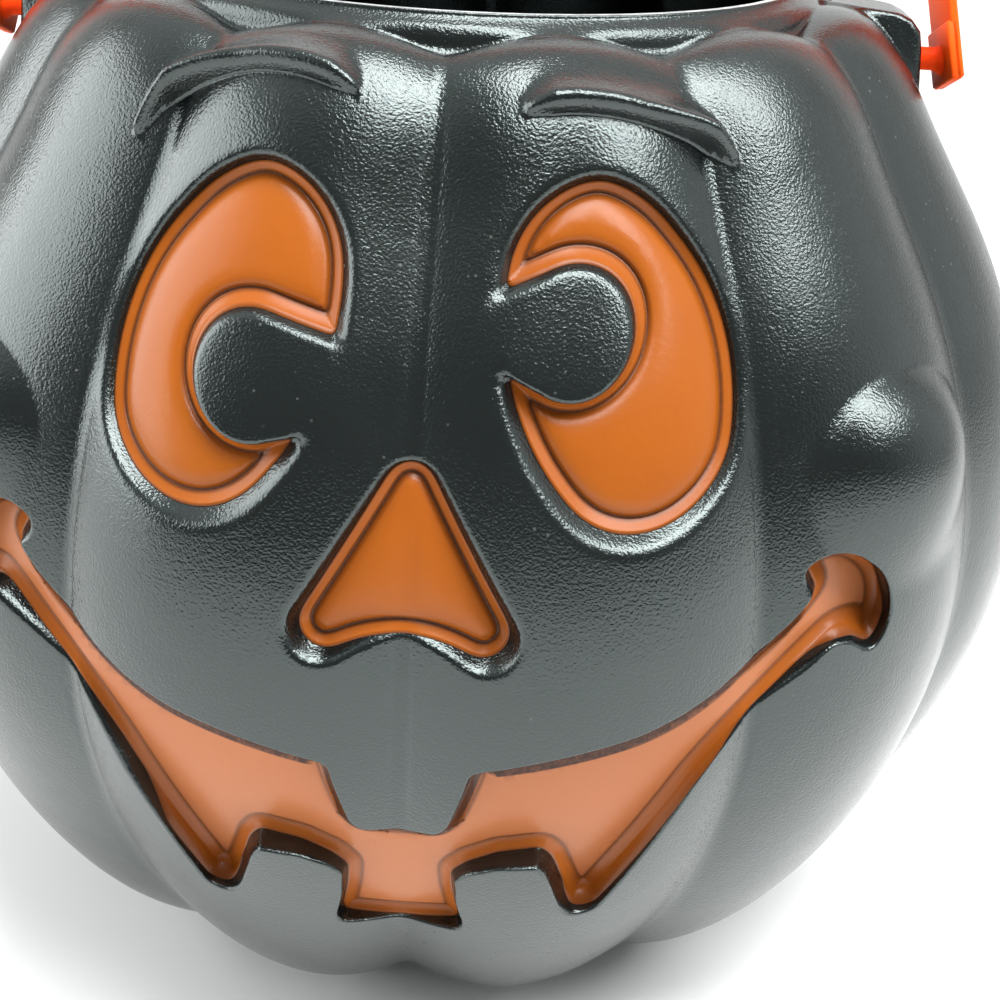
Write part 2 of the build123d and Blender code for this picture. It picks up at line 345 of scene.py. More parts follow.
paintFilm = {
    "lift": 0.1,
    "sink": 0.35,  # of the shell below the paint
    "fade": 0.5,  # from the paint's edge to the full sink
    "edgeLine": [(-0.35, 0), (0, 0.55)],
    # painted reflection: how much of the mouth's floor takes the paler floor colour
    "paleFloor": [(-2.3, 1), (-1.8, 0.2), (0, 0)],
}


def arcThrough(a, b, c, count=40):
    a, b, c = (complex(*spot) for spot in (a, b, c))
    ratio = (c - a) / (b - a)
    centre = a + (b - a) * (ratio - abs(ratio) ** 2) / (2j * ratio.imag)
    first, mid, last = (np.angle(spot - centre) for spot in (a, b, c))
    sweep = (last - first) % (2 * pi)
    if (mid - first) % (2 * pi) > sweep:
        sweep -= 2 * pi
    turns = first + sweep * np.linspace(0, 1, count)
    return np.array([centre.real, centre.imag]) + abs(a - centre) * circle(turns)


def strokeLine(start, steps):
    line = [np.array([start])]
    for step in steps:
        line.append(np.array([step]) if len(step) == 2 else arcThrough(start, step[:2], step[2:])[1:])
        start = step[-2:]
    return join(line)


def closedLine(points, spacing, passes):  # even steps all round, corners a little rounded, counter-clockwise
    ring = join([points, points[:1]])
    reach = chordReach(ring)
    places = np.linspace(0, reach[-1], int(reach[-1] / spacing), endpoint=False)
    even = softened(stacked(*(np.interp(places, reach, ring[:, k]) for k in (0, 1))), passes)
    area = (even[:, 0] * np.roll(even[:, 1], -1) - even[:, 1] * np.roll(even[:, 0], -1)).sum()
    return even if area > 0 else even[::-1]


def lineNormals(line):
    return rightOf(np.roll(line, -1, 0) - np.roll(line, 1, 0))


farthest = 9.0  # distances from an outline are found up to here


def outlineDistance(line, spots):  # below zero inside; also the nearest step of the line
    x, z = spots[:, 0], spots[:, -1]
    far = np.full(len(x), farthest)
    step = np.zeros(len(x), int)
    low, high = line.min(0) - farthest, line.max(0) + farthest
    close = np.nonzero((x > low[0]) & (x < high[0]) & (z > low[1]) & (z < high[1]))[0]
    ahead = np.roll(line, -1, 0)
    edge = ahead - line
    climb = np.where(edge[:, 1] == 0, 1e-9, edge[:, 1])
    for part in np.array_split(close, max(1, len(close) // 1500)):
        gap = (toSegments(stacked(x[part], z[part]), line, edge) ** 2).sum(2)
        near = gap.argmin(1)
        level = z[part][:, None]
        rises = (line[:, 1] > level) != (ahead[:, 1] > level)
        crossing = edge[:, 0] * (level - line[:, 1]) / climb + line[:, 0]
        inside = (rises & (x[part][:, None] < crossing)).sum(1) % 2 == 1
        far[part] = np.sqrt(gap[np.arange(len(part)), near]) * np.where(inside, -1, 1)
        step[part] = near
    return far, step


def fromOutline(line, spots):
    return outlineDistance(line, spots)[0]


def partOf(ring, wanted):  # the one stretch of a ring that is wanted, from its start
    begin = np.nonzero(wanted & ~np.roll(wanted, 1))[0][0]
    return np.roll(ring, -begin, 0)[:wanted.sum()]


def eyeField(side):
    sign = -1 if side == "left" else 1

    def place(share):
        return sign * (eye["spread"] + share[0] * eye["width"]), eye["bottom"] + share[1] * eye["height"]

    steps = [place(step[:2]) + place(step[2:]) for step in eye["strokeShares"]]
    egg = closedLine(strokeLine(steps[-1][2:], steps), 0.5, 30)
    taper = eye["pupilTapers"][side]
    arc = eye["pupilRadius"] * circle(np.radians(np.linspace(90 - taper, 270 + taper, 60)))
    reach = eye["width"] / 2
    closing = arc[0, 1] - (reach - arc[0, 0]) * tan(radians(taper))
    disc = join([arc, [(reach, -closing), (reach, closing)]]) * np.array([-sign, 1])
    disc = closedLine(disc + np.array(place(eye["pupilShares"][side])), 0.4, 0)
    outer = partOf(egg, fromOutline(disc, egg) > 0)
    inner = partOf(disc, fromOutline(egg, disc) < 0)
    line = closedLine(join([outer, inner[::-1]]), 0.5, 2)
    return {"line": line, "egg": egg, "disc": disc, **eye}


def noseLine():
    half = nose["width"] / 2 - nose["round"]
    foot = nose["bottom"] + nose["round"]
    top = nose["bottom"] + nose["height"] - nose["round"]
    under = arcThrough((-half, foot), (0, foot + nose["arch"]), (half, foot), 30)
    core = closedLine(join([under, [(0, top)]]), 0.4, 0)
    sides = core + lineNormals(core) * nose["round"]
    spots = [sides[fromOutline(core, sides) > nose["round"] - 0.02]]
    for side, start, stop in nose["corners"]:
        corner = np.array([side * half, foot if side else top])
        spots.append(corner + nose["round"] * circle(np.radians(np.linspace(start, stop, 30))))
        spots[-1] = spots[-1][fromOutline(core, spots[-1]) > nose["round"] - 0.05]
    spots = join(spots)
    order = np.argsort(np.arctan2(spots[:, 1] - foot - 6, spots[:, 0]))
    return closedLine(spots[order], 0.5, 6)


fields = {side: eyeField(side) for side in ("left", "right")}
fields["nose"] = {"line": noseLine(), **nose}
half = strokeLine(mouth["start"], mouth["strokes"])
mouthOutline = closedLine(join([half, half[::-1] * np.array([-1, 1])]), 0.5, 4)
fields["mouth"] = {"line": mouthOutline, **mouth}
eyeFields = [fields["left"], fields["right"]]
noseOutline = fields["nose"]["line"]
upwards = lineNormals(mouthOutline)[:, 1]
wallSlopes = np.where(upwards > 0.1, mouth["upperSlope"], lookUp(mouthOutline[:, 0], mouth["lowerSlopes"]))
wallSlopes = softened(wallSlopes, 6)
wallSofts = softened(np.where(upwards > 0.1, mouth["upperSoft"], mouth["lowerSoft"]), 6)
climbs = softened(lookUp(mouthOutline[:, 0], mouth["creep"]) * (upwards < 0.1), 12)
fields["mouth"]["edge"] = mouthOutline + lineNormals(mouthOutline) * climbs[:, None]

crestRun = np.linspace(0, crestLength, 600)
lowCurve = crestAt(crestRun) - crestNormal(crestRun) * mouth["floorDepth"]


def faceFloor(x, z):  # how far forward the floor of the nose and the mouth stands
    return np.sqrt(np.maximum(np.interp(z, lowCurve[:, 1], lowCurve[:, 0]) ** 2 - x ** 2, 1))


def carve(point, out, under=0.0):  # presses the face into the front, straight back
    x, z = point[:, 0], point[:, 2]
    covered = np.zeros(len(x))
    height = -point[:, 1]
    facing = np.maximum(-out[:, 1], 0.3)
    fade = paintFilm["fade"]
    for field in eyeFields:
        egg = fromOutline(field["egg"], point)
        near = egg < 4
        if near.any():
            pupil = fromOutline(field["disc"], point[near])
            inside = -fromOutline(field["line"], point[near])
            depth = np.minimum(lookUp(egg[near], eye["lip"]), lookUp(pupil, eye["pupilLip"]))
            height[near] -= np.minimum(depth, lookUp(inside, eye["pillow"])) / facing[near]
            covered[near] = np.maximum(covered[near], unit(inside / fade))
    floor = faceFloor(x, z)
    gap = fromOutline(noseOutline, point)
    recess = floor + np.maximum(lookUp(gap, nose["wall"]), lookUp(gap, nose["pillow"]))
    height = np.where(gap < farthest, smoothMin(height, recess, nose["lipSoft"]), height)
    covered = np.maximum(covered, unit(-gap / fade))
    gap, step = outlineDistance(mouthOutline, point)
    wall = mouth["fillet"][-1][1] + gap * wallSlopes[step]
    recess = floor + np.where(gap > 0, wall, lookUp(gap, mouth["fillet"]))
    height = np.where(gap < farthest, smoothMin(height, recess, wallSofts[step]), height)
    if under:
        covered = np.maximum(covered, unit(-fromOutline(fields["mouth"]["edge"], point) / fade))
    return stacked(x, under * covered / facing - height, z)


def onFace(spots):  # turn and place along the profile, of points in the plane of the face
    along = alongAt(spots[:, 1])
    turn = np.arcsin(np.clip(spots[:, 0] / crestAt(along)[:, 0], -0.95, 0.95))
    for _ in range(25):
        point, out = bumpedPoint(turn, along)
        radius = np.hypot(point[:, 0], point[:, 1])
        level = np.maximum(out[:, 0] ** 2 + out[:, 1] ** 2, 0.2) ** 0.5
        along = np.clip(along + 0.8 * (spots[:, 1] - point[:, 2]) / level, 0.5, crestLength - 0.3)
        turn = turn + 0.8 * (spots[:, 0] - point[:, 0]) / (radius * np.cos(turn))
    return turn, along


def merged(parts):  # several sets of points with their links, as one
    points, links, used = [], [], 0
    for spots, own in parts:
        points.append(spots)
        links += [(a + used, b + used) for a, b in own]
        used += len(spots)
    return join(points), links


def nearLinks(row, reach=2.0):  # between neighbours in a row
    gaps = np.linalg.norm(np.roll(row, -1, 0) - row, axis=1)
    return [(k, (k + 1) % len(row)) for k in np.nonzero(gaps < reach)[0].tolist()]


def offsetLoops(line, offsets, keep=None):  # rows of points beside an outline
    rows = []
    for offset in offsets:
        row = line + lineNormals(line) * offset
        good = np.abs(fromOutline(line, row) - offset) < 0.06
        rows.append(row[good & keep(row, offset) if keep else good])
    return merged([(row, nearLinks(row)) for row in rows])


def eyeLoops(field):
    def clear(row, offset):
        return fromOutline(field["disc"], row) > (-1.5 if offset > 0.3 else -farthest)

    def inEgg(row, offset):
        return fromOutline(field["egg"], row) < 0.3

    return merged([offsetLoops(field["line"], eye["offsets"], clear),
                   offsetLoops(field["disc"], eye["pupilOffsets"], inEgg)])


loops = {name: eyeLoops(fields[name]) for name in ("left", "right")}
for name in ("nose", "mouth"):
    loops[name] = offsetLoops(fields[name]["line"], fields[name]["offsets"])
print("outlines", {name: len(points) for name, (points, links) in loops.items()})


def triangulate(spots, links):
    made = delaunay_2d_cdt([Vector((t * flat, a)) for t, a in spots], links, [], 0, 0.004)
    spots = np.array([tuple(v) for v in made[0]])
    return spots[:, 0] / flat, spots[:, 1], made[2]


lattice = {
    "slotColumns": [-0.64, -0.21, 0.21, 0.64],
    "grooveTurn": 2.4, "ringReach": 9, "browReach": 4.5, "beadMiddle": 0.3, "beadReach": 2.2,
    "cheekShares": (0.75, 1.2),
    "cheekFoot": -0.4, "pupilReach": -2,
}


def faceLattice(low):  # points between the rows, closer together where the surface turns
    pitch = 360 / pail["lobes"]
    widest, count = pail["faceTurn"], pail["fineColumns"]
    slots = np.arange(-widest, widest + 1, pitch)[:, None] + np.array(lattice["slotColumns"])
    columns = join([np.arange(-count, count + 1) * widest / count, slots.ravel()])
    alongs = np.arange(low, crestLength, pail["fineStep"])
    turn, along = (side.ravel() for side in np.meshgrid(np.radians(columns), alongs, indexing="ij"))
    i, j = np.divmod(np.arange(len(turn)), len(alongs))
    fromGroove = np.abs((np.degrees(turn) + pitch / 2) % pitch - pitch / 2)
    fine = (fromGroove < lattice["grooveTurn"]) & (j % 2 == 0) | (along > crestLength - lattice["ringReach"])
    spot = stacked(turn * brows["radius"], along)
    taken = np.full(len(turn), False)
    for strand in browStrands:
        near = besideBrow(spot, strand)
        above = strandDistance(spot[near], strand)
        fine[near] |= np.abs(above) < lattice["browReach"]
        bead = np.abs(above + lattice["beadMiddle"]) < lattice["beadReach"]
        inSpan = (spot[near, 0] > strand[:, 0].min()) & (spot[near, 0] < strand[:, 0].max())
        taken[near[bead & inSpan]] = True
    for side in (-1, 1):
        u = (turn - radians(side * cheek["turn"])) * flat / cheek["width"]
        v = (along - cheekAlong) / cheek["above"]
        least, most = lattice["cheekShares"]
        fine |= (np.hypot(u, v) > least) & (np.hypot(u, v) < most) & (v > lattice["cheekFoot"])
    keep = ((i % 2 == 0) & (j % 2 == 0) | fine) & ~taken
    turn, along = turn[keep], along[keep]
    point = bumpedPoint(turn, along)[0]
    free = np.full(len(turn), True)
    gaps = {}
    for name, field in fields.items():
        gaps[name] = fromOutline(field["line"], point)
        free &= (gaps[name] < field["band"][0]) | (gaps[name] > field["band"][1])
    for field in eyeFields:
        free |= fromOutline(field["disc"], point) < lattice["pupilReach"]
    return turn[free], along[free], {name: gap[free] for name, gap in gaps.items()}


ears = {
    "width": 14, "stand": 1.8, "rise": 8, "slope": 2.4, "draft": 4, "topSlope": 0.1,
    "sideSlope": 0.06, "pivotDrop": 12.4, "round": 1.6, "blend": 1.6,
    "nearness": (16, 18),  # across, and below the pivot
    "lift": 48,  # degrees of the way that the surface is drawn
    "reach": 17,
    "columns": (4.2, 7.9, 0.26),  # finer mesh, in degrees from the middle of the ear
}
pivot = pail["bodyHeight"] - ears["pivotDrop"]
earFace = float(lookUp(pivot, [(level, radius) for radius, level in crestPoints])) + ears["stand"]


def withEars(point, out, inset=0.0):  # draws the surface out to the two ears
    across, below = ears["nearness"]
    near = np.nonzero((np.abs(point[:, 1]) < across) & (point[:, 2] > pivot - below))[0]
    if not len(near):
        return point
    lift = radians(ears["lift"])
    side = np.sign(point[near, 0])
    towards = stacked(side * cos(lift), np.zeros(len(near)), np.full(len(near), sin(lift)))
    reach = np.linspace(0, ears["reach"], 171)
    spots = point[near][:, None] + towards[:, None] * reach[:, None]
    height = spots[..., 2] - pivot
    face = earFace - height * tan(radians(ears["draft"]))
    outer = np.abs(spots[..., 0]) - face
    top = height - ears["rise"] - (face - np.abs(spots[..., 0])) * ears["topSlope"]
    bevel = (outer + height - ears["rise"] + ears["slope"]) / sqrt(2)
    sides = np.abs(spots[..., 1]) - ears["width"] / 2 + (height - ears["rise"]) * ears["sideSlope"]
    soft = ears["round"]
    solid = smoothMax(smoothMax(outer, top, soft), smoothMax(bevel, sides, soft), soft) + inset
    body = reach * (out[near] * towards).sum(1)[:, None]
    joined = smoothMin(solid, body, ears["blend"])
    inside = joined <= 1e-6
    last = np.where(inside.any(1), len(reach) - 1 - inside[:, ::-1].argmax(1), 0)
    pick = np.arange(len(near))
    here = joined[pick, last]
    after = joined[pick, np.minimum(last + 1, len(reach) - 1)]
    part = np.where(after > here, -here / np.maximum(after - here, 1e-9), 0)
    moved = point.copy()
    moved[near] += towards * (reach[last] + unit(part) * (reach[1] - reach[0]))[:, None]
    return moved


def shellColumns():
    half = 180 / pail["lobes"]
    share = np.linspace(-1, 1, pail["columnsPerLobe"] + 1)[:-1]
    inLobe = half * (0.55 * share + 0.45 * np.sin(share * pi / 2))  # closer beside the grooves
    turns = [lobe * 2 * half + half + inLobe for lobe in range(-pail["lobes"] // 2, pail["lobes"] // 2)]
    for side in (-90, 90):
        turns += [side + sign * np.arange(*ears["columns"]) for sign in (-1, 1)]
    turns = np.unique(np.round(join(turns), 4))
    return np.radians(turns[join([[True], np.diff(turns) > 0.03])])


recessBack = {"turn": 0.03, "along": 2.7, "slack": 0.4, "leastFacing": 0.45, "from": 20.0}


def backOf(turns, along):  # the inside of the front, behind the deepest place near each point
    deepest = np.zeros(len(turns))
    for aside in (-recessBack["turn"], 0, recessBack["turn"]):
        for ahead in (-recessBack["along"], 0, recessBack["along"]):
            base, out = bumpedPoint(turns + aside, along + ahead)
            deepest = np.maximum(deepest, carve(base, out)[:, 1] - base[:, 1])
    base, out = bumpedPoint(turns, along)
    facing = np.maximum(-out[:, 1], recessBack["leastFacing"])
    return base[:, 1] + deepest + (pail["wall"] + recessBack["slack"]) / facing


def shellMesh():
    turns = shellColumns()
    count = len(turns)
    rows, faces = [], []

    def ring(radius, level):
        return stacked(np.sin(turns) * radius, -np.cos(turns) * radius, np.broadcast_to(level, count))

    top = np.linspace(crestLength - 13, crestLength, 24)
    alongs = join([np.arange(0, crestLength - 14, pail["rowStep"]), top])
    for along in alongs:
        rows.append(withEars(*bumpedPoint(turns, along)))
    outerRows = len(rows)
    end = rows[-1]
    outside, inside = pail["ringRadius"], pail["ringRadius"] - pail["wall"]
    height = pail["bodyHeight"]
    lipRadius, lipLevel = pail["flange"]
    rows.append(ring((np.hypot(end[:, 0], end[:, 1]) + lipRadius) / 2, (end[:, 2] + lipLevel) / 2))
    for share in (0.0, 0.45, 0.9):
        level = lipLevel + (height - 0.5 - lipLevel) * share
        rows.append(ring(lipRadius + (outside - lipRadius) * share, level))
    rows += [ring(outside - inset, height - drop) for inset, drop in pail["rimOutside"]]
    cutRow = len(rows) - 1
    rows += [ring(inside + inset, height - drop) for inset, drop in pail["rimInside"]]
    top = np.linspace(crestLength - 1, crestLength - 20, 16)
    for along in join([top, np.arange(crestLength - 24, 6, -4)]):
        spot = withEars(*plainPoint(turns, along, pail["wall"]), pail["wall"])
        front = -spot[:, 1] > recessBack["from"]
        if front.any():
            spot[front, 1] = np.maximum(spot[front, 1], backOf(turns[front], along))
        rows.append(spot)
    last = rows[-1]
    for share in pail["innerShares"]:
        level = last[:, 2] * share ** 4 + pail["innerFloor"] * (1 - share ** 4)
        rows.append(stacked(last[:, 0] * share, last[:, 1] * share, level))
    baseStart = len(rows)
    first = rows[0]
    for share, lift in pail["baseShares"]:
        level = first[:, 2] * max(0, (share - 0.88) / 0.12) + lift * pail["basePush"]
        rows.append(stacked(first[:, 0] * share, first[:, 1] * share, level))
    frontLow = int(np.searchsorted(crestAt(alongs)[:, 1], pail["faceFoot"]))
    inFace = np.abs(np.degrees(turns)) < pail["faceTurn"] + 0.01
    cell = inFace & np.roll(inFace, -1)  # left for the fine mesh

    def band(lower, upper, skip=None):
        for k in range(count):
            if skip is None or not skip[k]:
                n = (k + 1) % count
                faces.append((lower * count + k, lower * count + n, upper * count + n, upper * count + k))

    for k in range(baseStart - 1):
        band(k, k + 1, cell if frontLow <= k < outerRows - 1 else None)
    band(baseStart, 0)
    for k in range(baseStart, len(rows) - 1):
        band(k + 1, k)
    faces.append(tuple((baseStart - 1) * count + k for k in range(count)))
    faces.append(tuple((len(rows) - 1) * count + k for k in reversed(range(count))))
    cutStart = cutRow * count - int(cell.sum()) * (outerRows - 1 - frontLow)
    cutFaces = range(cutStart, cutStart + count)
    return join(rows), faces, cutFaces, turns[inFace], alongs[frontLow:outerRows]


def facePatch(turns, alongs):
    low, high = alongs[0], alongs[-1]
    rim = [(t, low) for t in turns] + [(turns[-1], a) for a in alongs[1:]]
    rim += [(t, high) for t in turns[::-1][1:]] + [(turns[0], a) for a in alongs[::-1][1:-1]]
    drawn = [(np.array(rim), [(k, (k + 1) % len(rim)) for k in range(len(rim))])]
    drawn += [(stacked(*onFace(spots)), links) for spots, links in loops.values()]
    for strand in browStrands:
        across = -rightOf(np.gradient(strand, axis=0))
        across *= np.where(across[:, 1:] < 0, -1, 1)
        for offset, rise in brows["section"][:brows["meshRows"]]:
            row = (strand + across * offset) / np.array([brows["radius"], 1])
            drawn.append((row, [(k, k + 1) for k in range(len(row) - 1)]))
    turn, along, gaps = faceLattice(low)
    free = (np.abs(turn) < radians(pail["faceTurn"]) - 0.006) & (along > low + 0.7) & (along < high - 0.5)
    drawn.append((stacked(turn[free], along[free]), []))
    turn, along, faces = triangulate(*merged(drawn))
    return carve(*bumpedPoint(turn, along), paintFilm["sink"]), faces


def addToScene(name, data):
    thing = bpy.data.objects.new(name, data)
    scene.collection.objects.link(thing)
    return thing


def makePiece(name, points, faces, materials, body, node, layers=None):
    mesh = bpy.data.meshes.new(name)
    mesh.from_pydata((np.asarray(points) * mm).tolist(), [], faces)
    mesh.validate()
    mesh.shade_smooth()
    for material in materials:
        mesh.materials.append(material)
    for title, values in (layers or {}).items():
        layer = mesh.attributes.new(title, "FLOAT", "POINT")
        layer.data.foreach_set("value", np.array(values, np.float32))
    piece = addToScene(name, mesh)
    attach(piece, body)
    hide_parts(node)
    return piece


class Wire:  # a socket that can be used in sums
    def __init__(self, socket):
        self.socket = socket
        self.tree = socket.id_data

    def math(self, operation, other):
        return addNode(self.tree, "Math", {0: self, 1: other}, {"operation": operation})

    def __add__(self, other):
        return self.math("ADD", other)

    def __mul__(self, other):
        return self.math("MULTIPLY", other)

    __radd__ = __add__
    __rmul__ = __mul__


def feed(node, inputs):
    for key, value in inputs.items():
        if isinstance(value, Wire):
            value.tree.links.new(value.socket, node.inputs[key])
        else:
            node.inputs[key].default_value = value


def addNode(tree, kind, inputs, settings=None, output=0):
    node = tree.nodes.new("ShaderNode" + kind)
    for key, value in (settings or {}).items():
        setattr(node, key, value)
    feed(node, inputs)
    return Wire(node.outputs[output])


def newFinish(name):  # the material, its nodes, its shader and the place on the object
    material = bpy.data.materials.new(name)
    material.use_nodes = True
    tree = material.node_tree
    return material, tree, tree.nodes["Principled BSDF"], addNode(tree, "TexCoord", {}, output=3)


def spread(value, low, high):  # takes low to high onto 0 to 1
    return addNode(value.tree, "MapRange", {"Value": value, "From Min": low, "From Max": high})


def mixColour(factor, a, b):
    return addNode(factor.tree, "Mix", {0: factor, 6: a, 7: b}, {"data_type": "RGBA"}, 2)


def grain(place, scale, detail=2.0, rough=0.5):
    inputs = {"Vector": place, "Scale": scale, "Detail": detail, "Roughness": rough}
    return addNode(place.tree, "TexNoise", inputs)


def bump(height, strength, depth, under=None):
    inputs = {"Strength": strength, "Distance": depth, "Height": height}
    if under:
        inputs["Normal"] = under
    return addNode(height.tree, "Bump", inputs)


def layerValue(tree, title):
    return addNode(tree, "Attribute", {}, {"attribute_name": title}, 2)


blackPlastic = {
    "colour": (0.0038, 0.0047, 0.0047, 1),
    "dust": (0.05, 0.052, 0.05, 1),
    "dustCover": 0.8, "dustRough": 0.25, "speckScale": 430,
    "speckSpan": (0.12, 0.06),
    "patchScale": 28,
    "patchSpan": (0.5, 0.62),
    "sheen": (0.87, 1, 0.98, 1),
    "roughLow": 0.13, "roughHigh": 0.25, "pebbleScale": 2400, "pebbleDepth": 0.00009,
    "rippleScale": 170, "rippleDepth": 0.0002, "rippleStrength": 0.35, "refraction": 1.58,
}


def blackFinish():
    use = blackPlastic
    material, tree, shader, place = newFinish("blackPlastic")
    patch = grain(place, use["patchScale"], 3.0, 0.6)
    speck = addNode(tree, "TexVoronoi", {"Vector": place, "Scale": use["speckScale"]})
    dust = spread(speck, *use["speckSpan"]) * spread(patch, *use["patchSpan"])
    rough = spread(patch, 0.3, 0.7) * (use["roughHigh"] - use["roughLow"]) + use["roughLow"]
    ripple = grain(place, use["rippleScale"], 1.0, 0.4)
    ripple = bump(ripple, use["rippleStrength"], use["rippleDepth"])
    feed(shader, {
        "Base Color": mixColour(dust * use["dustCover"], use["colour"], use["dust"]),
        "Roughness": rough + dust * use["dustRough"],
        "Normal": bump(grain(place, use["pebbleScale"], 1.5), 1.0, use["pebbleDepth"], ripple),
        "IOR": use["refraction"],
        "Specular Tint": use["sheen"],
    })
    return material


# rough cut plastic, lighter grey than the body: partly its scraped surface, partly a painted highlight
cutEdgeAndHighlight = {"dark": (0.16, 0.165, 0.165, 1), "light": (0.4, 0.41, 0.41, 1), "scrapeScale": 420}


def cutFinish():  # the rim, where the mould's waste was cut off; rough cut plastic, whose light grey is partly a painted highlight of the rim's bright line
    material, tree, shader, place = newFinish("cutEdgeWithPaintedHighlight")
    scrape = grain(place, cutEdgeAndHighlight["scrapeScale"], 3.0, 0.6)
    feed(shader, {
        "Base Color": mixColour(spread(scrape, 0.3, 0.7), cutEdgeAndHighlight["dark"], cutEdgeAndHighlight["light"]),
        "Roughness": scrape * 0.3 + 0.4,
    })
    return material


orangePaint = {
    "colour": (0.265, 0.067, 0.006, 1),
    "deep": (0.225, 0.05, 0.004, 1),
    "floor": (0.365, 0.123, 0.047, 1),  # inside the mouth: paler and pinker, a painted reflection of the white floor
    # dark colour for the painted shade in the grooves and under the upper lip, and for the darker paint edge
    "line": (0.03, 0.009, 0.004, 1),
    "rough": 0.22, "roughMore": 0.16, "cloudScale": 45, "mistScale": 1500, "skinScale": 900,
    "skinDepth": 0.00006, "specular": 0.2,
}


def paintFinish():
    use = orangePaint
    material, tree, shader, place = newFinish("orangePaint")
    cloud = grain(place, use["cloudScale"], 3.0, 0.6)
    mist = grain(place, use["mistScale"], 2.0, 0.6)
    colour = mixColour(spread(cloud, 0.35, 0.75) * 0.6, use["colour"], use["deep"])
    # painted reflection: the mouth's floor mixed towards the paler floor colour
    colour = mixColour(layerValue(tree, "paintedReflection") * (0.8 + cloud * 0.3), colour, use["floor"])
    feed(shader, {
        # painted shade: the paint is darkened in the grooves and under the upper lip, and darker at its edge
        "Base Color": mixColour(layerValue(tree, "paintDarkening") * (0.7 + mist * 0.5), colour, use["line"]),
        "Roughness": cloud * use["roughMore"] + use["rough"],
        "Normal": bump(grain(place, use["skinScale"]), 0.5, use["skinDepth"]),
        "Specular IOR Level": use["specular"],
    })
    return material


strap = {
    "width": 15, "thickness": 1.5, "tilt": 11, "lean": 19, "leg": 40, "padStep": 0.7, "padUp": 5.5,
    "padDown": 4.5, "padInset": 0.2, "pegRadius": 2, "pegReach": 4.5, "pegRoot": 1.4,
    "pegFlare": 0.8, "headRadius": 3.3, "headLength": 2.4, "headPlay": 0.35, "headRound": 0.2,
    "edgeRound": 0.4, "edgeWidth": 0.9,
    "colour": (0.93, 0.023, 0.003, 1),
    # painted light: lighter orange at the edges, standing in for light passing through the thin plastic
    "edgeGlowColour": (0.94, 0.105, 0.008, 1),
    "rough": 0.42, "roughMore": 0.14, "flowScale": 60, "skinScale": 500, "skinDepth": 0.00008,
    "specular": 0.06,
    "glow": 0.15,  # light that passes through the plastic
    "glowReach": (0.004, 0.0015, 0.0005),
}


def strapFinish():
    material, tree, shader, place = newFinish("orangeStrap")
    flow = grain(place, strap["flowScale"])
    # painted light: the lighter edge glow, plus a random flow tone
    factor = layerValue(tree, "edge") * 0.8 + spread(flow, 0.45, 0.8) * 0.12
    feed(shader, {
        "Base Color": mixColour(factor, strap["colour"], strap["edgeGlowColour"]),
        "Roughness": flow * strap["roughMore"] + strap["rough"],
        "Normal": bump(grain(place, strap["skinScale"]), 0.3, strap["skinDepth"]),
        "Specular IOR Level": strap["specular"],
        "Subsurface Weight": strap["glow"],
        "Subsurface Radius": strap["glowReach"],
    })
    return material


def buildShell(material, cutMaterial):
    points, faces, cutFaces, turns, alongs = shellMesh()
    patchPoints, patchFaces = facePatch(turns, alongs)
    print("shell", len(points), len(faces), "face", len(patchPoints), len(patchFaces))
    everything = join([points, patchPoints])
    faces = faces + [tuple(len(points) + k for k in face) for face in patchFaces]
    finishes = [material, cutMaterial]
    piece = makePiece("pailShell", everything, faces, finishes, "pail", "pail_shell")
    for k in cutFaces:
        piece.data.polygons[k].material_index = 1
    weld = piece.modifiers.new("weld", "WELD")
    weld.merge_threshold = 0.00001


# width of the painted shade strip under the upper lip, growing with the depth of the recess
def lipShadeStrip(line):
    base = bumpedPoint(*onFace(line))[0]
    under, beside = mouth["stripShares"]
    strip = (-base[:, 1] - faceFloor(line[:, 0], line[:, 1])) * (under * np.maximum(upwards, 0) + beside)
    side = np.abs(line[:, 0])
    toothHalf, toothFoot = mouth["upperTooth"]
    wanted = (upwards > 0.2) & (side < mouth["stripEnd"]) | (side < toothHalf) & (line[:, 1] > toothFoot)
    return softened((strip + mouth["stripWidth"]) * wanted, 10)


def stripRows(line, strip):  # rows of the mesh on both sides of the strip's edge
    rows = []
    for wider in (0, mouth["stripWidth"]):
        row = line - lineNormals(line) * (strip + wider)[:, None]
        clear = np.abs(fromOutline(line, row) + strip + wider) < 0.12
        rows.append(row[(strip > mouth["stripLeast"]) & clear])
    return [(row, nearLinks(row)) for row in rows]


def closedFilm(points, faces):  # a front, a back and a rim; also which of the points are used
    corner = points[np.array(faces)]
    across = np.cross(corner[:, 1] - corner[:, 0], corner[:, 2] - corner[:, 0])
    normals = np.zeros_like(points)
    for k in range(3):
        np.add.at(normals, np.array(faces)[:, k], across)
    used, number = np.unique(np.array(faces), return_inverse=True)
    count = len(used)
    lift = lengthOne(normals[used]) * paintFilm["lift"]
    front = [tuple(face) for face in number.reshape(-1, 3).tolist()]
    edges = dict.fromkeys((face[k], face[(k + 1) % 3]) for face in front for k in range(3))
    film = front + [tuple(count + k for k in face[::-1]) for face in front]
    film += [(b, a, count + a, count + b) for a, b in edges if (b, a) not in edges]
    return join([points[used] + lift, points[used] - lift]), film, used


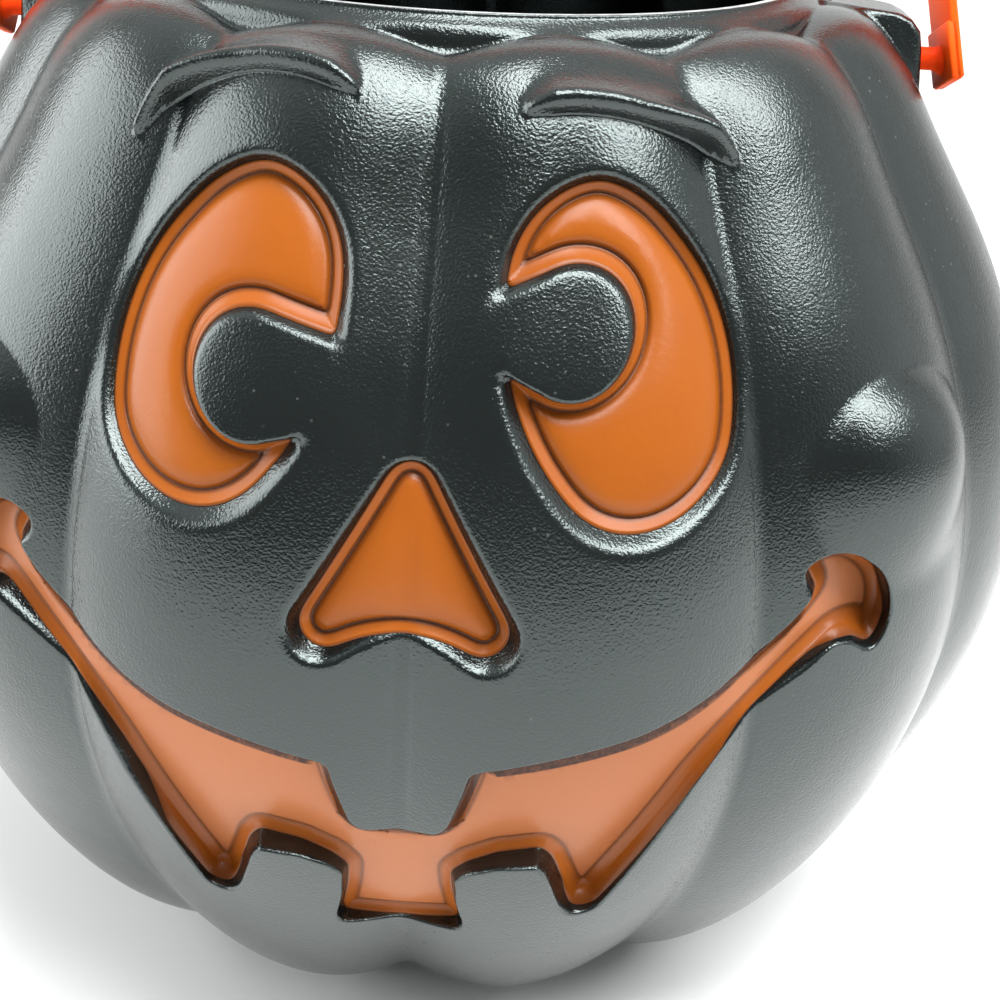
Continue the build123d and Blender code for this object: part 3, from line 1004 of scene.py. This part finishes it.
def buildPaint(name, node, key, material):
    field = fields[key]
    line = field["line"]
    edge = field.get("edge", line)
    offsets = [offset for offset in field["offsets"] if offset <= 0]
    rows = [offsetLoops(line, offsets)]
    strip = np.zeros(len(line))
    if key == "mouth":
        beyond = edge[fromOutline(line, edge) > 0.06]
        strip = lipShadeStrip(line)
        rows += [(beyond, nearLinks(beyond))] + stripRows(line, strip)
    rows, links = merged(rows)
    rows = stacked(*onFace(rows))
    turn, along, gaps = faceLattice(rows[:, 1].min() - 1)
    inside = gaps[key] < min(offsets) - 0.3
    turn, along, faces = triangulate(join([rows, stacked(turn, along)[inside]]), links)
    base, out = bumpedPoint(turn, along)
    gap, step = outlineDistance(line, base)
    fromEdge = fromOutline(edge, base)
    onRim = (np.abs(fromEdge[np.array(faces)]) < 0.02).all(1)
    kept = fromOutline(edge, base[np.array(faces)].mean(1)) < np.where(onRim, -0.05, 0)
    points, faces, used = closedFilm(carve(base, out), [face for face, keep in zip(faces, kept) if keep])
    # painted shade in the grooves, with a darker paint edge
    paintDarkening = np.maximum(lookUp(gap, field["paintedGrooveShade"]), lookUp(fromEdge, paintFilm["edgeLine"]))
    # the painted shade strip under the upper lip
    inStrip = unit((gap + strip[step]) / mouth["stripWidth"] + 1)
    paintDarkening = np.maximum(paintDarkening, inStrip * (strip[step] > mouth["stripLeast"]))
    # painted reflection of the white floor, on the mouth's floor only
    paintedReflection = lookUp(gap, paintFilm["paleFloor"]) * (key == "mouth")
    layers = {
        "paintDarkening": join([paintDarkening[used], np.ones(len(used))]),
        "paintedReflection": join([paintedReflection[used], np.zeros(len(used))]),
    }
    makePiece(name, points, faces, [material], "pail", node, layers)
    print("paint", name, len(faces))


def strapRing(place, inner, outer, half, corner):  # points round one cross-section
    x, z, outX, outZ = place
    near, far, side = inner + corner, outer - corner, half - corner
    ring = []
    for out, across, start in ((far, side, 0), (near, side, 90), (near, -side, 180), (far, -side, 270)):
        for turn in np.radians(start + np.array([0, 30, 60, 90])):
            reach = out + corner * cos(turn)
            ring.append((x + reach * outX, across + corner * sin(turn), z + reach * outZ))
    return ring


def buildHandle(material):
    tilt = radians(strap["tilt"])
    padFace = earFace + strap["pegReach"]
    inner, outer = strap["padStep"], strap["padStep"] + strap["thickness"]
    points, faces, edge = [], [], []

    def leg(along):  # a place on the inner face and the way out from it, each across and up
        return padFace - along * sin(tilt), along * cos(tilt), cos(tilt), sin(tilt)

    def mirrored(places):
        return [(-x, z, -outX, outZ) for x, z, outX, outZ in places[::-1]]

    def skin(base, size, count, turned=False):  # faces round rings of points, closed at both ends
        for k in range(count - 1):
            for n in range(size):
                a, b = base + k * size + n, base + k * size + (n + 1) % size
                faces.append((b, a, a + size, b + size) if turned else (a, b, b + size, a + size))
        start = tuple(base + n for n in range(size))
        stop = tuple(base + (count - 1) * size + n for n in range(size))
        faces.append(start if turned else start[::-1])
        faces.append(stop[::-1] if turned else stop)

    def tube(places, inner, outer, rounding):
        half = strap["width"] / 2
        base = len(points)
        for k, place in enumerate(places):
            shrink = rounding if k in (0, len(places) - 1) else 0
            corner = rounding * (0.6 if shrink else 1)
            ring = strapRing(place, inner + shrink, outer - shrink, half - shrink, corner)
            points.extend(ring)
            # the strap's sides carry the painted edge glow
            edge.extend([float(abs(side) > half - strap["edgeWidth"]) for x, side, z in ring])
        skin(base, len(ring), len(places))

    tip = strap["edgeRound"]
    foot = -strap["padDown"]
    right = [leg(along) for along in [foot, foot + tip] + list(np.linspace(0, strap["leg"], 12))]
    bend = right[-1][0] / cos(tilt)
    centre = right[-1][1] - bend * sin(tilt)
    turns = np.linspace(tilt, pi - tilt, 72)[1:-1]
    arch = [(bend * cos(a), centre + bend * sin(a), cos(a), sin(a)) for a in turns]
    tube(right + arch + mirrored(right), inner, outer, tip)
    pad = [leg(along) for along in (foot, foot + tip, 0, strap["padUp"] - tip, strap["padUp"])]
    r, h, soft, flare = strap["pegRadius"], strap["headRadius"], strap["headRound"], strap["pegFlare"]
    headEnd = earFace - h * tan(radians(ears["draft"])) - pail["wall"] - strap["headPlay"]
    headStart = headEnd - strap["headLength"]
    lathe = [
        (headStart, 0.3), (headStart, r - soft), (headStart + soft, r), (headEnd - soft, h),
        (headEnd, h - soft), (headEnd, r + 0.1), (headEnd + 0.3, r), (padFace - strap["pegRoot"], r),
        (padFace - 0.6, r + 0.3),
        (padFace, r + flare), (padFace + 0.9, r + flare),
    ]
    for side in (1, -1):
        tube(pad if side > 0 else mirrored(pad), 0, outer - strap["padInset"], tip)
        base, around = len(points), 32
        for x, radius in lathe:
            for turn in np.linspace(0, 2 * pi, around, endpoint=False):
                points.append((side * x, radius * cos(turn), radius * sin(turn)))
                # the pegs take the painted edge glow halfway
                edge.append(0.55)
        skin(base, around, len(lathe), side < 0)
    lean = radians(strap["lean"])
    x, y, z = np.array(points).T
    spots = stacked(x, y * cos(lean) + z * sin(lean), z * cos(lean) - y * sin(lean) + pivot)
    makePiece("handleStrap", spots, faces, [material], "handle", "handle", {"edge": edge})
    print("handle", len(faces))


buildShell(blackFinish(), cutFinish())
paint = paintFinish()
for key, name in (("left", "leftEye"), ("right", "rightEye"), ("nose", "nose"), ("mouth", "mouth")):
    node = key + ("_eye_paint" if key in ("left", "right") else "_paint")
    buildPaint(name + "Paint", node, key, paint)
buildHandle(strapFinish())

studio = {  # in metres
    "floor": (0.88, 0.88, 0.875, 1),
    "floorBehind": (0.5, 0.5, 0.495, 1),
    "floorSpan": (-0.05, 0.25),
    "floorRough": 0.7, "halfWidth": 1.6, "bendFrom": 0.55, "bendRadius": 0.3, "wallTop": 1.3,
    "farFloor": 9,  # the floor goes on just below the backdrop
    "room": (0.94, 1, 0.99, 1),
    "frontGlow": 0.28,  # the room is dimmer on the side of the camera
    "backGlow": 1.15,
    "glowSpan": (-0.65, 0),
    "lamps": [  # place, aim, width, height, watts
        ((0.1, -0.3, 1.4), (0, -0.06, 0.16), 0.5, 0.95, 25),
        ((0.74, -0.3, 1.28), (0, -0.06, 0.16), 0.5, 0.95, 26),
        ((-1, -0.05, 0.45), (0, 0, 0.12), 1, 0.8, 13.5),
    ],
}


def buildFloor():
    size, start, bend, far = (studio[key] for key in ("halfWidth", "bendFrom", "bendRadius", "farFloor"))
    rows = [(-size, 0.0), (start, 0.0)]
    rows += [(start + bend * sin(a), bend - bend * cos(a)) for a in np.linspace(0, pi / 2, 12)[1:]]
    rows.append((start + bend, studio["wallTop"]))
    points = [(x, y, z) for y, z in rows for x in (-size, size)]
    faces = [(2 * k, 2 * k + 1, 2 * k + 3, 2 * k + 2) for k in range(len(rows) - 1)]
    faces.append(tuple(len(points) + k for k in range(4)))
    points += [(-far, -far, -mm), (far, -far, -mm), (far, far, -mm), (-far, far, -mm)]
    mesh = bpy.data.meshes.new("floor")
    mesh.from_pydata(points, [], faces)
    mesh.shade_smooth()
    floor = addToScene("floor", mesh)
    material, tree, shader, place = newFinish("paleFloor")
    back = spread(addNode(tree, "SeparateXYZ", {0: place}, output=1), *studio["floorSpan"])
    shade = mixColour(back, studio["floor"], studio["floorBehind"])
    feed(shader, {"Base Color": shade, "Roughness": studio["floorRough"]})
    mesh.materials.append(material)


def buildLights():
    world = bpy.data.worlds.new("studio")
    scene.world = world
    world.use_nodes = True
    tree = world.node_tree
    way = addNode(tree, "SeparateXYZ", {0: addNode(tree, "TexCoord", {})}, output=1)
    more = studio["backGlow"] - studio["frontGlow"]
    glow = spread(way, *studio["glowSpan"]) * more + studio["frontGlow"]
    feed(tree.nodes["Background"], {"Strength": glow, "Color": studio["room"]})
    for place, aim, width, tall, watts in studio["lamps"]:
        data = bpy.data.lights.new("softbox", "AREA")
        data.shape = "RECTANGLE"
        data.size = width
        data.size_y = tall
        data.energy = watts
        lamp = addToScene("softbox", data)
        lamp.location = place
        lamp.rotation_euler = (Vector(aim) - Vector(place)).to_track_quat("-Z", "Y").to_euler()


camera = {  # where the photograph was taken from
    "place": (17.4, -305.8, 220.9),
    "yaw": -1.39, "pitch": -25.31, "roll": 3.21, "focalPixels": 1669.8, "imagePixels": 1000,
    "sensor": 36, "nearest": 0.01,
}


def buildCamera():
    yaw, pitch, roll = (radians(camera[key]) for key in ("yaw", "pitch", "roll"))
    turn = Matrix.Rotation(-yaw, 4, "Z") @ Matrix.Rotation(pi / 2 + pitch, 4, "X")
    turn = turn @ Matrix.Rotation(roll, 4, "Z")
    data = bpy.data.cameras.new("photoCamera")
    data.sensor_width = camera["sensor"]
    data.lens = camera["sensor"] * camera["focalPixels"] / camera["imagePixels"]
    data.clip_start = camera["nearest"]
    seen = addToScene("photoCamera", data)
    seen.matrix_world = Matrix.Translation(Vector(camera["place"]) * mm) @ turn
    scene.camera = seen


buildFloor()
buildLights()
buildCamera()
scene.view_settings.view_transform = "Standard"
print("studio ready")
